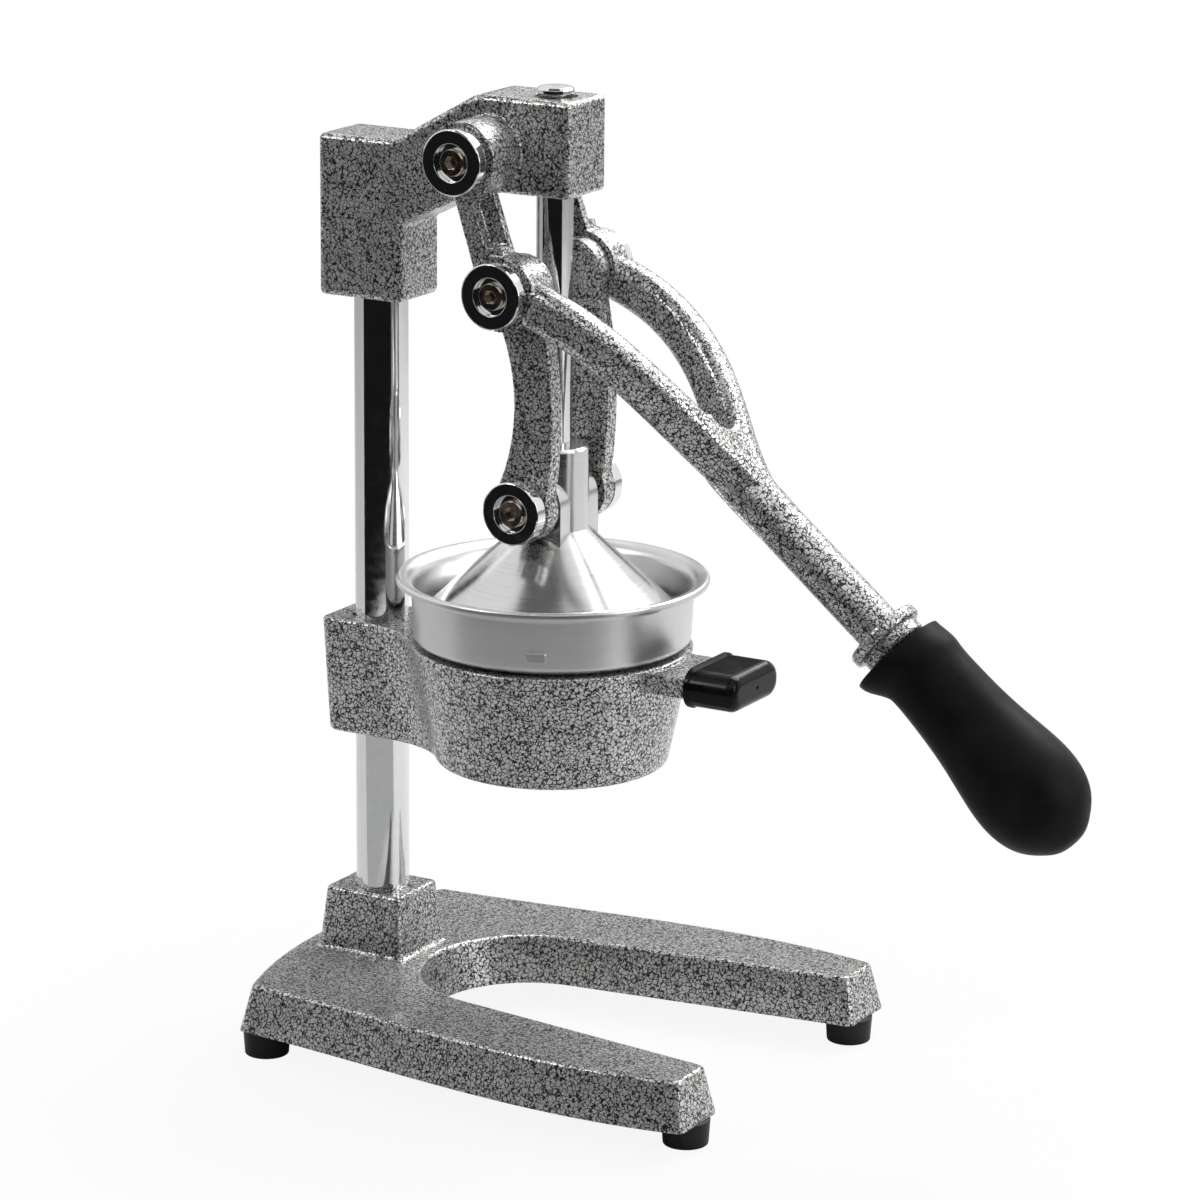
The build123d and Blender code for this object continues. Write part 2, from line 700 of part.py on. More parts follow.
# ------------------------------------------------------------------ press cone and guide rod
with BuildPart() as press_cone:
    with BuildSketch(Plane.XZ):
        with BuildLine():
            Polyline(
                (press_x, neck_top),
                (press_x + neck_r, neck_top),
                (press_x + neck_r, cone_shoulder[1] + cone_shoulder[0] - neck_r),
                (press_x + cone_shoulder[0], cone_shoulder[1]),
                (press_x + cone_rim[0], cone_rim[1]),
                (press_x + cone_skirt_r, cone_rim[1] - cone_wall),
                (press_x + cone_skirt_r, cone_bottom),
                (press_x, cone_bottom),
                close=True,
            )
        make_face()
    revolve(axis=press_axis)
    # two flat lugs that carry the lower pivot
    with BuildSketch(Plane.XZ):
        with Locations((press_x, lower_pivot_z)):
            Circle(lug_r)
        with Locations((press_x, (lower_pivot_z + cone_shoulder[1] - lug_r) / 2)):
            Rectangle(2 * lug_r, lower_pivot_z - cone_shoulder[1] + lug_r)
    extrude(amount=lug_half, both=True)
    chamfer(press_cone.edges().filter_by(GeomType.CIRCLE).group_by(Axis.Z)[-1], neck_chamfer)
    # hollow underside
    inner_run = cone_rim[0] - cone_shoulder[0]
    inner_fall = cone_shoulder[1] - cone_rim[1]
    inner_drop = cone_wall * sqrt(inner_run**2 + inner_fall**2) / inner_run
    with BuildSketch(Plane.XZ):
        with BuildLine():
            Polyline(
                (press_x, cone_bottom),
                (press_x + cone_skirt_r - cone_wall, cone_bottom),
                (press_x + cone_skirt_r - cone_wall, cone_rim[1] - inner_drop),
                (press_x + cone_shoulder[0], cone_shoulder[1] - inner_drop),
                (press_x, cone_shoulder[1] - inner_drop),
                close=True,
            )
        make_face()
    revolve(axis=press_axis, mode=Mode.SUBTRACT)
    # seat for the rod, and the cross bore of the lower pivot
    with BuildSketch(Plane.XY.offset(neck_top)):
        with Locations((press_x, 0)):
            Circle(rod_d / 2 + seat)
    extrude(amount=-rod_seat_depth, mode=Mode.SUBTRACT)
    with BuildSketch(Plane.XZ):
        with Locations((press_x, lower_pivot_z)):
            Circle(pin_d / 2 + seat)
    extrude(amount=lug_half, both=True, mode=Mode.SUBTRACT)
press_cone.part.label = "press_cone"

with BuildPart() as guide_rod:
    with BuildSketch(Plane.XY.offset(neck_top - rod_seat_depth)):
        with Locations((press_x, 0)):
            Circle(rod_d / 2)
    extrude(amount=rod_top - neck_top + rod_seat_depth)
    chamfer(guide_rod.edges(), rod_end_chamfer)
    with BuildSketch(Plane.XY.offset(rod_groove[0])):
        with Locations((press_x, 0)):
            Circle(rod_d / 2 + 1)
            Circle(rod_groove_d / 2, mode=Mode.SUBTRACT)
    extrude(amount=rod_groove[1] - rod_groove[0], mode=Mode.SUBTRACT)
guide_rod.part.label = "guide_rod"

# ------------------------------------------------------------------ head casting
nose_x = post_x + head_nose_front
with BuildPart() as head_casting:
    with BuildSketch(Plane.XZ) as head_profile:
        with BuildLine():
            Polyline(
                (post_x - head_rear, head_bottom),
                (post_x + head_block_front, head_bottom),
                (post_x + head_block_front, head_step),
                (post_x + head_arm[0], head_arm_z),
                (post_x + head_nose_start, head_nose_bottom),
                (nose_x, head_nose_bottom),
                (nose_x, head_top),
                (post_x + ramp_end, head_top),
                (post_x + ramp_start, head_rear_top),
                (post_x - head_rear, head_rear_top),
                close=True,
            )
        make_face()
        corners = head_profile.vertices()
        fillet(corners.sort_by_distance((post_x + ramp_end, head_top))[0], ramp_round)
        fillet(corners.sort_by_distance((post_x + ramp_start, head_rear_top))[0], ramp_round)
        fillet(corners.sort_by_distance((post_x + head_arm[0], head_arm_z))[0], ramp_round)
        fillet(corners.sort_by_distance((post_x + head_block_front, head_step))[0], head_step_round)
        fillet(
            corners.sort_by_distance((post_x + head_nose_start, head_nose_bottom))[0], ramp_round
        )
    extrude(amount=head_half, both=True)
    fillet(head_casting.edges(), head_side_round)
    # round bosses for the lever, blended into the sides
    blend_r = head_boss_r + head_boss_flare
    blend_half = head_half + head_boss_flare
    blend_middle = head_boss_flare * sqrt(0.5)
    boss_axis = Axis((upper_x, 0, upper_z), (0, 1, 0))
    for side in (-1, 1):
        with BuildSketch(Plane.XY.offset(upper_z)):
            with BuildLine():
                ThreePointArc(
                    (upper_x + blend_r, side * head_half),
                    (upper_x + blend_r - blend_middle, side * (blend_half - blend_middle)),
                    (upper_x + head_boss_r, side * blend_half),
                )
                Polyline(
                    (upper_x + head_boss_r, side * blend_half),
                    (upper_x + head_boss_r, side * head_boss_half),
                    (upper_x, side * head_boss_half),
                    (upper_x, side * (head_half - head_side_round)),
                    (upper_x + blend_r, side * (head_half - head_side_round)),
                    (upper_x + blend_r, side * head_half),
                )
            make_face()
        revolve(axis=boss_axis)
    # bores for the post, the rod bushing and the upper pivot
    with BuildSketch(Plane.XY.offset(head_bottom)):
        with Locations((post_x, 0)):
            Circle(post_d / 2 + slip)
    extrude(amount=post_top - head_bottom, mode=Mode.SUBTRACT)
    with BuildSketch(Plane.XY.offset(head_nose_bottom)):
        with Locations((press_x, 0)):
            Circle(bushing_d / 2 + seat)
    extrude(amount=head_top - head_nose_bottom, mode=Mode.SUBTRACT)
    with BuildSketch(Plane.XZ):
        with Locations((upper_x, upper_z)):
            Circle(pin_d / 2 + seat)
    extrude(amount=head_boss_half, both=True, mode=Mode.SUBTRACT)
    # threaded holes for the two set screws
    head_screw_mid = (head_bottom + head_rear_top) / 2
    head_screw_heights = [head_screw_mid + side * head_screw_pitch / 2 for side in (-1, 1)]
    for height in head_screw_heights:
        with BuildSketch(Plane(origin=(post_x, 0, height), z_dir=(-1, 0, 0))):
            Circle(set_screw_d / 2 + seat)
        extrude(amount=head_rear + 1, mode=Mode.SUBTRACT)
head_casting.part.label = "head_casting"

head_set_screws = set_screws(head_screw_heights)
head_set_screws.part.label = "head_set_screws"

with BuildPart() as rod_bushing:
    with BuildSketch(Plane.XY.offset(head_nose_bottom + bushing_inset)):
        with Locations((press_x, 0)):
            Circle(bushing_d / 2)
            Circle(rod_d / 2 + slip, mode=Mode.SUBTRACT)
    extrude(amount=head_top - head_nose_bottom - 2 * bushing_inset)
rod_bushing.part.label = "rod_bushing"


# ------------------------------------------------------------------ pivots
def cross_pin(x, z, half_length, inner=0.0):
    """A plain pin across the press, drilled at its ends; with an inner end it is one on each side."""
    with BuildPart() as pin:
        with BuildSketch(right_plane(inner)):
            with Locations((x, z)):
                Circle(pin_d / 2)
        extrude(amount=half_length - inner)
        with BuildSketch(right_plane(half_length)):
            with Locations((x, z)):
                Circle(screw_d / 2 + seat)
        extrude(amount=-min(screw_length, half_length - inner), mode=Mode.SUBTRACT)
        mirror(about=Plane.XZ)
    return pin


def pivot_caps(x, z, face, diameter):
    """The turned chrome caps that hold a pivot together, one on each side."""
    with BuildPart() as caps:
        with BuildSketch(right_plane(face)):
            with Locations((x, z)):
                Circle(diameter / 2 - cap_step_r)
        extrude(amount=cap_step)
        with BuildSketch(right_plane(face + cap_step)):
            with Locations((x, z)):
                Circle(diameter / 2)
        extrude(amount=cap_thickness - cap_step)
        chamfer(caps.faces().sort_by(Axis.Y)[0].edges(), cap_edge)
        with BuildSketch(right_plane(face + cap_thickness)):
            with Locations((x, z)):
                Circle(cap_recess_d / 2)
        extrude(amount=-cap_recess, mode=Mode.SUBTRACT)
        with BuildSketch(right_plane(face)):
            with Locations((x, z)):
                Circle(screw_d / 2 + seat)
        extrude(amount=cap_thickness, mode=Mode.SUBTRACT)
        mirror(about=Plane.XZ)
    return caps


def cap_screws(x, z, face):
    """Low-headed socket screws through the caps, one on each side."""
    under_head = face + cap_thickness - cap_recess
    with BuildPart() as screws:
        with BuildSketch(right_plane(under_head)):
            with Locations((x, z)):
                Circle(screw_head_d / 2)
        extrude(amount=screw_head)
        chamfer(screws.faces().sort_by(Axis.Y)[0].edges(), screw_head / 4)
        with BuildSketch(right_plane(under_head + screw_head)):
            with Locations((x, z)):
                RegularPolygon(screw_hex / 2, 6, major_radius=False)
        extrude(amount=-screw_hex_depth, mode=Mode.SUBTRACT)
        with BuildSketch(right_plane(under_head)):
            with Locations((x, z)):
                Circle(screw_d / 2)
        extrude(amount=-screw_length)
        mirror(about=Plane.XZ)
    return screws


lever_cap_face = lever_eye_outer + running
link_cap_face = link_outer + running
middle_pin_inner = lever_eye_inner - running
pivots = {
    "upper_pivot_shaft": cross_pin(upper_x, upper_z, lever_cap_face),
    "upper_pivot_caps": pivot_caps(upper_x, upper_z, lever_cap_face, cap_d),
    "upper_pivot_screws": cap_screws(upper_x, upper_z, lever_cap_face),
    "middle_pivot_pins": cross_pin(middle_x, middle_z, lever_eye_outer, middle_pin_inner),
    "middle_pivot_caps": pivot_caps(middle_x, middle_z, lever_eye_outer, cap_d),
    "middle_pivot_screws": cap_screws(middle_x, middle_z, lever_eye_outer),
    "lower_pivot_shaft": cross_pin(press_x, lower_pivot_z, link_cap_face),
    "lower_pivot_caps": pivot_caps(press_x, lower_pivot_z, link_cap_face, lower_cap_d),
    "lower_pivot_screws": cap_screws(press_x, lower_pivot_z, link_cap_face),
}
for pivot_name, pivot in pivots.items():
    pivot.part.label = pivot_name

with BuildPart() as lower_pivot_spacers:
    with BuildSketch(right_plane(lug_half)):
        with Locations((press_x, lower_pivot_z)):
            Circle(spacer_d / 2)
            Circle(pin_d / 2 + seat, mode=Mode.SUBTRACT)
    extrude(amount=link_inner - running - lug_half)
    mirror(about=Plane.XZ)
lower_pivot_spacers.part.label = "lower_pivot_spacers"


# ------------------------------------------------------------------ lower links
def on_eye(x, z, radius, angle):
    """A point on the rim of a round eye, at an angle from +X towards +Z."""
    return (x + radius * cos(radians(angle)), z + radius * sin(radians(angle)))


with BuildPart() as lower_link_right:
    with BuildSketch(right_plane(link_inner)):
        with Locations((middle_x, middle_z), (press_x, lower_pivot_z)):
            Circle(link_eye_r)
        with BuildLine():
            top_front = on_eye(middle_x, middle_z, link_eye_r, -link_eye_angle)
            top_rear = on_eye(middle_x, middle_z, link_eye_r, 180 + link_rear_angle)
            foot_front_point = on_eye(press_x, lower_pivot_z, link_eye_r, link_eye_angle)
            foot_rear_point = on_eye(press_x, lower_pivot_z, link_eye_r, 180 - link_rear_angle)
            front_bulge = (post_x + link_front_bulge[0], link_middle_z + link_front_bulge[1])
            rear_bulge = (post_x + link_rear_bulge[0], link_middle_z + link_rear_bulge[1])
            ThreePointArc(top_front, front_bulge, foot_front_point)
            Polyline(foot_front_point, (press_x, lower_pivot_z), foot_rear_point)
            ThreePointArc(foot_rear_point, rear_bulge, top_rear)
            Polyline(top_rear, (middle_x, middle_z), top_front)
        make_face()
    extrude(amount=link_outer - link_inner)
    fillet(lower_link_right.faces().sort_by(Axis.Y)[0].outer_wire().edges(), link_edge)
    # raised disc on the inner face of the upper eye
    with BuildSketch(right_plane(link_inner - link_boss)):
        with Locations((middle_x, middle_z)):
            Circle(link_eye_r - 1)
    extrude(amount=link_boss)
    with BuildSketch(right_plane(link_inner)):
        with Locations((press_x, lower_pivot_z)):
            Circle(pin_d / 2 + slip)
    extrude(amount=link_outer - link_inner, mode=Mode.SUBTRACT)
lower_link_right.part.label = "lower_link_right"

with BuildPart() as lower_link_left:
    mirror(lower_link_right.part, about=Plane.XZ)
lower_link_left.part.label = "lower_link_left"

# ------------------------------------------------------------------ lever casting
pivot_span = Vector(middle_x - upper_x, 0, middle_z - upper_z)
arm_direction = pivot_span.normalized()
upper_arm_plane = Plane(
    origin=(upper_x, -upper_arm_inner, upper_z), x_dir=arm_direction, z_dir=(0, -1, 0)
)
crotch_angle = radians(handle_angle + crotch_slope)
crotch_plane = Plane(
    origin=shaft_origin + handle_direction * crotch[0] + shaft_up * crotch[1],
    x_dir=(cos(crotch_angle), 0, -sin(crotch_angle)),
    z_dir=(sin(crotch_angle), 0, cos(crotch_angle)),
)
with BuildPart() as lever_casting:
    # saddle that closes the fork where its arms part, with a scoop at the rear
    with BuildSketch(crotch_plane):
        with BuildLine():
            Polyline(
                *crotch_outline,
                *[(x, -half) for x, half in reversed(crotch_outline)],
                close=True,
            )
        make_face()
        with Locations((-crotch_r, 0)):
            Circle(crotch_r, mode=Mode.SUBTRACT)
    extrude(amount=-crotch_depth)
    scoop_edges = lever_casting.edges().filter_by(GeomType.CIRCLE)
    fillet(scoop_edges.sort_by(Axis(crotch_plane.origin, crotch_plane.z_dir))[-1], crotch_edge)
    # flat arm between the eyes: a rib along the rear edge, and a thin web in front of it
    arm_length = pivot_span.length
    arm_thickness = upper_arm_outer - upper_arm_inner
    with BuildSketch(upper_arm_plane):
        with BuildLine():
            Polyline(
                (0, upper_arm_front),
                (arm_length, upper_arm_front),
                (arm_length, -upper_arm_rear[1]),
                (0, -upper_arm_rear[0]),
                close=True,
            )
        make_face()
    extrude(amount=arm_thickness)
    outer_edges = lever_casting.faces().sort_by(Axis.Y)[0].edges()
    fillet(outer_edges.sort_by(SortBy.LENGTH)[-2:], upper_arm_edge)
    with BuildSketch(upper_arm_plane.offset(upper_arm_web)) as arm_recess:
        with Locations((arm_length / 2, upper_arm_front - upper_arm_rib)):
            Rectangle(arm_length, 2 * upper_arm_front)
        with Locations((0, 0)):
            Circle(lever_eye_r + upper_arm_collar[0], mode=Mode.SUBTRACT)
        with Locations((arm_length, 0)):
            Circle(lever_eye_r + upper_arm_collar[1], mode=Mode.SUBTRACT)
        fillet(arm_recess.vertices().group_by(Axis.Y)[0], upper_arm_corner)
    extrude(amount=arm_thickness, mode=Mode.SUBTRACT)
    web_edges = lever_casting.edges().filter_by(
        lambda e: abs(e.center().Y + upper_arm_inner + upper_arm_web) < 0.01
    )
    fillet(web_edges.sort_by(Axis.X)[-1], upper_arm_edge)
    # round eyes at the upper and middle pivots
    with BuildSketch(right_plane(lever_eye_inner)):
        with Locations((upper_x, upper_z), (middle_x, middle_z)):
            Circle(lever_eye_r)
    extrude(amount=lever_eye_outer - lever_eye_inner)
    # curved lower arm, from the middle eye into the root of the shaft
    merge_along, merge_half, *merge_size = arm_merge
    merge_point = shaft_origin + handle_direction * merge_along
    arm_start = Vector(cos(radians(arm_drop)), 0, -sin(radians(arm_drop)))
    stations = [Vector(post_x + x, -half, middle_z - drop) for x, half, drop, _, _ in arm_stations]
    stations.append(Vector(merge_point.X, -merge_half, merge_point.Z))
    sizes = [(depth, thickness) for _, _, _, depth, thickness in arm_stations] + [merge_size]
    arm_path = Spline(*stations, tangents=(arm_start, handle_direction))
    for point, (depth, thickness) in zip(stations, sizes):
        along = arm_path.tangent_at(arm_path.param_at_point(point))
        upward = along.cross(Vector(0, 1, 0)).normalized()
        with BuildSketch(Plane(origin=point, x_dir=upward, z_dir=along)):
            RectangleRounded(depth, thickness, arm_round * thickness)
    loft()
    # round shaft with two collars, and the tang inside the grip
    with BuildSketch(shaft_plane):
        with BuildLine():
            Spline(
                (-shaft_nose, 0),
                (0, shaft_start_r),
                (shaft_waist, shaft_r),
                (collar_start, shaft_end_r),
                tangents=((0, 1), (1, 0)),
            )
            Polyline(
                (collar_start, shaft_end_r),
                (collar_start, collar_r),
                (collar_end, collar_r),
                (collar_end, second_collar_r),
                (shaft_length, second_collar_r),
                (shaft_length, 0),
                (-shaft_nose, 0),
            )
        make_face()
    revolve(axis=shaft_axis)
    circles = lever_casting.edges().filter_by(GeomType.CIRCLE)
    collar_rims = circles.filter_by(lambda e: abs(e.radius - collar_r) < 0.1)
    second_rims = circles.filter_by(lambda e: abs(e.radius - second_collar_r) < 0.1)
    fillet([*collar_rims, second_rims.sort_by(shaft_axis)[-1]], collar_bead)
    with BuildSketch(Plane(origin=grip_origin - grip_direction * 2, z_dir=grip_direction)):
        Circle(tang_r)
    extrude(amount=tang_length + 2)
    # spot face that the middle cap sits in
    with BuildSketch(right_plane(lever_eye_outer)):
        with Locations((middle_x, middle_z)):
            Circle(cap_d / 2 + cap_clearance)
    extrude(amount=cap_thickness, mode=Mode.SUBTRACT)
    # bores: running fit on the upper shaft, tight on the middle pins
    with BuildSketch(right_plane(lever_eye_inner)):
        with Locations((upper_x, upper_z)):
            Circle(pin_d / 2 + slip)
        with Locations((middle_x, middle_z)):
            Circle(pin_d / 2 + seat)
    extrude(amount=lever_eye_outer - lever_eye_inner, mode=Mode.SUBTRACT)
    # all of it so far is the right half; the left half is its mirror image, and the seam
    # stays in the faces, because merging them across it spoils the solid
    split(bisect_by=Plane.XZ, keep=Keep.TOP)
    add(lever_casting.part.mirror(Plane.XZ), clean=False)
lever_casting.part.label = "lever_casting"

# ------------------------------------------------------------------ grip
with BuildPart() as handle_grip:
    # flared front end
    for along, offset_up, radius in grip_flare:
        flare_origin = grip_origin + grip_direction * along
        with BuildSketch(Plane(origin=flare_origin, x_dir=grip_plane.y_dir, z_dir=grip_direction)):
            with Locations((offset_up, 0)):
                Circle(radius)
    loft()
    # waist, bulb and rounded end
    with BuildSketch(grip_plane):
        with BuildLine():
            Spline(*grip_profile, tangents=((1, -0.12), (0, -1)))
            Polyline(grip_profile[-1], (grip_profile[0][0], 0), grip_profile[0])
        make_face()
    revolve(axis=grip_axis)
    # hole for the tang
    with BuildSketch(Plane(origin=grip_origin, z_dir=grip_direction)):
        Circle(tang_r + seat)
    extrude(amount=tang_length + seat, mode=Mode.SUBTRACT)
handle_grip.part.label = "handle_grip"

# ------------------------------------------------------------------ write every node
nodes = {
    "base_casting": base_casting,
    "foot_screws": foot_screws,
    "post": post,
    "post_washer": post_washer,
    "post_bolt": post_bolt,
    "cup_bracket": cup_bracket,
    "bracket_set_screw": bracket_set_screw,
    "tab_sleeve": tab_sleeve,
    "juice_cup": juice_cup,
    "strainer_cone": strainer_cone,
    "press_cone": press_cone,
    "guide_rod": guide_rod,
    "head_casting": head_casting,
    "head_set_screws": head_set_screws,
    "rod_bushing": rod_bushing,
    "lower_pivot_spacers": lower_pivot_spacers,
    "lower_link_right": lower_link_right,
    "lower_link_left": lower_link_left,
    "lever_casting": lever_casting,
    "handle_grip": handle_grip,
    **feet,
    **pivots,
}
os.makedirs("parts", exist_ok=True)
for node_name, node in nodes.items():
    export_step(node.part, f"parts/{node_name}.step")
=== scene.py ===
"""Looks of the lever citrus juice press: finishes for every solid, the studio and the camera.

Lengths are in metres. The front of the press, where its handle is, looks along +X."""

import json
import math

import bpy
from mathutils import Matrix, Vector


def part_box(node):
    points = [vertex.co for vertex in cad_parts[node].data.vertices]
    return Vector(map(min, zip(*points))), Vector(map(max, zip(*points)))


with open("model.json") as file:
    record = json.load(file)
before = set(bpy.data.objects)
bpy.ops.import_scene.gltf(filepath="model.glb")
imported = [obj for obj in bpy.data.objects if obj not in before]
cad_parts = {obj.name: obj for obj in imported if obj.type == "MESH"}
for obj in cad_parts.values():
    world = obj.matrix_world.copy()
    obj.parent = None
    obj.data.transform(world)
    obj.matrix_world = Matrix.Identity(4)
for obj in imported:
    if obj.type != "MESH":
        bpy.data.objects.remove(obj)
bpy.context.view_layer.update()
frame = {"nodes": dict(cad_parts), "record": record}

rod_low, rod_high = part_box("guide_rod")
press_x = (rod_low.x + rod_high.x) / 2


# ------------------------------------------------------------------ materials
# The colour sockets of a Mix node, which has sockets of the same names for other kinds of value.
MIX_FACTOR, MIX_FIRST, MIX_SECOND, MIX_RESULT = 0, 6, 7, 2
BEVEL_SAMPLES = 6


class Finish:
    """A material with a Principled shader, and short calls for the nodes that feed it."""

    def __init__(self, name, **settings):
        self.material = bpy.data.materials.new(name)
        self.material.use_nodes = True
        self.tree = self.material.node_tree
        self.shader = self.tree.nodes["Principled BSDF"]
        for key, value in settings.items():
            self.shader.inputs[key.replace("_", " ")].default_value = value
        self.place = self.node("ShaderNodeTexCoord").outputs["Object"]

    def node(self, kind, inputs=None, **attributes):
        """Add a node. An input is given a number, a colour or another node's output."""
        made = self.tree.nodes.new(kind)
        for key, value in attributes.items():
            setattr(made, key, value)
        for key, value in (inputs or {}).items():
            if isinstance(value, bpy.types.NodeSocket):
                self.tree.links.new(value, made.inputs[key])
            else:
                made.inputs[key].default_value = value
        return made

    def calculate(self, operation, *values):
        """One Math node."""
        inputs = dict(enumerate(values))
        return self.node("ShaderNodeMath", inputs, operation=operation).outputs[0]

    def vector_math(self, operation, *values):
        """One Vector Math node."""
        inputs = dict(enumerate(values))
        return self.node("ShaderNodeVectorMath", inputs, operation=operation).outputs[0]

    def noise(self, size, detail=2.0, vector=None):
        """Noise whose features are about this size. From 0 to 1."""
        inputs = {"Vector": vector or self.place, "Scale": 1 / size, "Detail": detail}
        return self.node("ShaderNodeTexNoise", inputs)

    def ramp(self, value, low, high, to_low=0.0, to_high=1.0):
        """A value between low and high, spread smoothly from to_low to to_high."""
        inputs = {0: value, 1: low, 2: high, 3: to_low, 4: to_high}
        made = self.node("ShaderNodeMapRange", inputs, interpolation_type="SMOOTHSTEP")
        return made.outputs[0]

    def mix(self, factor, first, second):
        """One colour between two."""
        inputs = {MIX_FACTOR: factor, MIX_FIRST: first, MIX_SECOND: second}
        return self.node("ShaderNodeMix", inputs, data_type="RGBA").outputs[MIX_RESULT]

    def rounded(self, radius):
        """The surface direction with its sharp edges rounded to this radius."""
        return self.node("ShaderNodeBevel", {"Radius": radius}, samples=BEVEL_SAMPLES).outputs[0]

    def bump(self, height, depth, strength, normal):
        """Relief of this depth on top of another surface direction."""
        inputs = {"Height": height, "Distance": depth, "Strength": strength, "Normal": normal}
        return self.node("ShaderNodeBump", inputs).outputs[0]

    def feed(self, **sockets):
        """Link outputs to the shader's inputs."""
        for key, value in sockets.items():
            self.tree.links.new(value, self.shader.inputs[key.replace("_", " ")])

    def turned(self, axis_x):
        """Coordinates that are the same all round a vertical axis: distance and height."""
        apart = self.node("ShaderNodeSeparateXYZ", {0: self.place}).outputs
        across = self.calculate("SUBTRACT", apart[0], axis_x)
        squares = [self.calculate("POWER", side, 2.0) for side in (across, apart[1])]
        distance = self.calculate("SQRT", self.calculate("ADD", *squares))
        return self.node("ShaderNodeCombineXYZ", {0: distance, 2: apart[2]}).outputs[0]


def grey(level, warmth=0.0):
    """An opaque grey, a little warmer or cooler."""
    return (level * (1 + warmth), level, level * (1 - warmth), 1.0)


def hammer_paint():
    """Silver enamel broken up by a net of thin black veins, under a clear coat."""
    cell_size = 0.0019               # between two veins
    swirl_size, swirl_reach = 0.0017, 0.0028   # waves that bend the net, and how far
    vein_end, silver_start = 0.05, 0.15        # distance from the net's line, in cells
    cloud_size = 0.006               # patches of darker and lighter silver
    warmth = 0.015
    vein_depth, orange_peel = 0.00008, 0.0003

    paint = Finish("hammer_paint", Metallic=0.7, Coat_Weight=0.6, Coat_Roughness=0.14)
    swirl = paint.noise(swirl_size, detail=1.0).outputs["Color"]
    pull = paint.vector_math("SUBTRACT", swirl, (0.5, 0.5, 0.5))
    warped = paint.vector_math("MULTIPLY_ADD", pull, (swirl_reach,) * 3, paint.place)
    cells = paint.node(
        "ShaderNodeTexVoronoi",
        {"Vector": warped, "Scale": 1 / cell_size},
        feature="DISTANCE_TO_EDGE",
    ).outputs["Distance"]
    ground = paint.ramp(cells, vein_end, silver_start)
    cloud = paint.ramp(paint.noise(cloud_size, detail=2.0).outputs[0], 0.35, 0.65)
    silver = paint.mix(cloud, grey(0.57, warmth), grey(0.69, warmth))
    rounded = paint.rounded(0.0009)
    waves = paint.noise(0.005).outputs[0]
    paint.feed(
        Base_Color=paint.mix(ground, grey(0.008), silver),
        Roughness=paint.ramp(ground, 0.0, 1.0, 0.45, 0.3),
        Normal=paint.bump(ground, vein_depth, 0.7, rounded),
        Coat_Normal=paint.bump(waves, orange_peel, 0.5, rounded),
    )
    return paint.material


def chrome():
    """Polished plate with faint waves and fine wipe marks."""
    wipe_size, wave_size = 0.004, 0.012
    wave_depth = 0.0001
    coolness = -0.01

    plate = Finish("chrome", Metallic=1.0)
    wipes = plate.noise(wipe_size, detail=4.0).outputs[0]
    waves = plate.noise(wave_size).outputs[0]
    plate.feed(
        Base_Color=plate.mix(wipes, grey(0.70, coolness), grey(0.80, coolness)),
        Roughness=plate.ramp(wipes, 0.3, 0.8, 0.05, 0.11),
        Normal=plate.bump(waves, wave_depth, 0.25, plate.rounded(0.0004)),
    )
    return plate.material


def turned_metal(name, levels, roughness, line, depth, edge):
    """Metal brushed or polished on a lathe: fine rings round the press axis.

    The greys and the roughness are given as lowest and highest, the rings by width and depth."""
    smear_size = 0.02

    metal = Finish(name, Metallic=1.0)
    rings = metal.noise(line, detail=5.0, vector=metal.turned(press_x)).outputs[0]
    smears = metal.noise(smear_size, detail=2.0).outputs[0]
    tone = metal.calculate("MULTIPLY", metal.calculate("ADD", rings, smears), 0.5)
    metal.feed(
        Base_Color=metal.mix(metal.ramp(tone, 0.35, 0.65), grey(levels[0]), grey(levels[1])),
        Roughness=metal.ramp(tone, 0.3, 0.7, *roughness),
        Normal=metal.bump(rings, depth, 0.6, metal.rounded(edge)),
    )
    return metal.material


def plain_metal(name, colours, roughness, grain):
    """Small turned or sintered fittings with a fine grain."""
    grain_depth, edge = 0.000004, 0.0002

    metal = Finish(name, Metallic=1.0)
    specks = metal.noise(grain, detail=3.0).outputs[0]
    metal.feed(
        Base_Color=metal.mix(metal.ramp(specks, 0.35, 0.65), *colours),
        Roughness=metal.ramp(specks, 0.3, 0.7, *roughness),
        Normal=metal.bump(specks, grain_depth, 0.4, metal.rounded(edge)),
    )
    return metal.material


def black_soft(name, level, roughness, grain, depth, gloss, edge):
    """Black rubber or dipped vinyl, with its grain and a little dust in it."""
    worn_size, worn_gain = 0.018, 1.7    # paler patches, and how much paler

    soft = Finish(name, Specular_IOR_Level=gloss)
    fine = soft.noise(grain, detail=3.0).outputs[0]
    worn = soft.ramp(soft.noise(worn_size, detail=4.0).outputs[0], 0.4, 0.75)
    soft.feed(
        Base_Color=soft.mix(worn, grey(level), grey(level * worn_gain)),
        Roughness=soft.ramp(worn, 0.0, 1.0, *roughness),
        Normal=soft.bump(fine, depth, 0.6, soft.rounded(edge)),
    )
    return soft.material


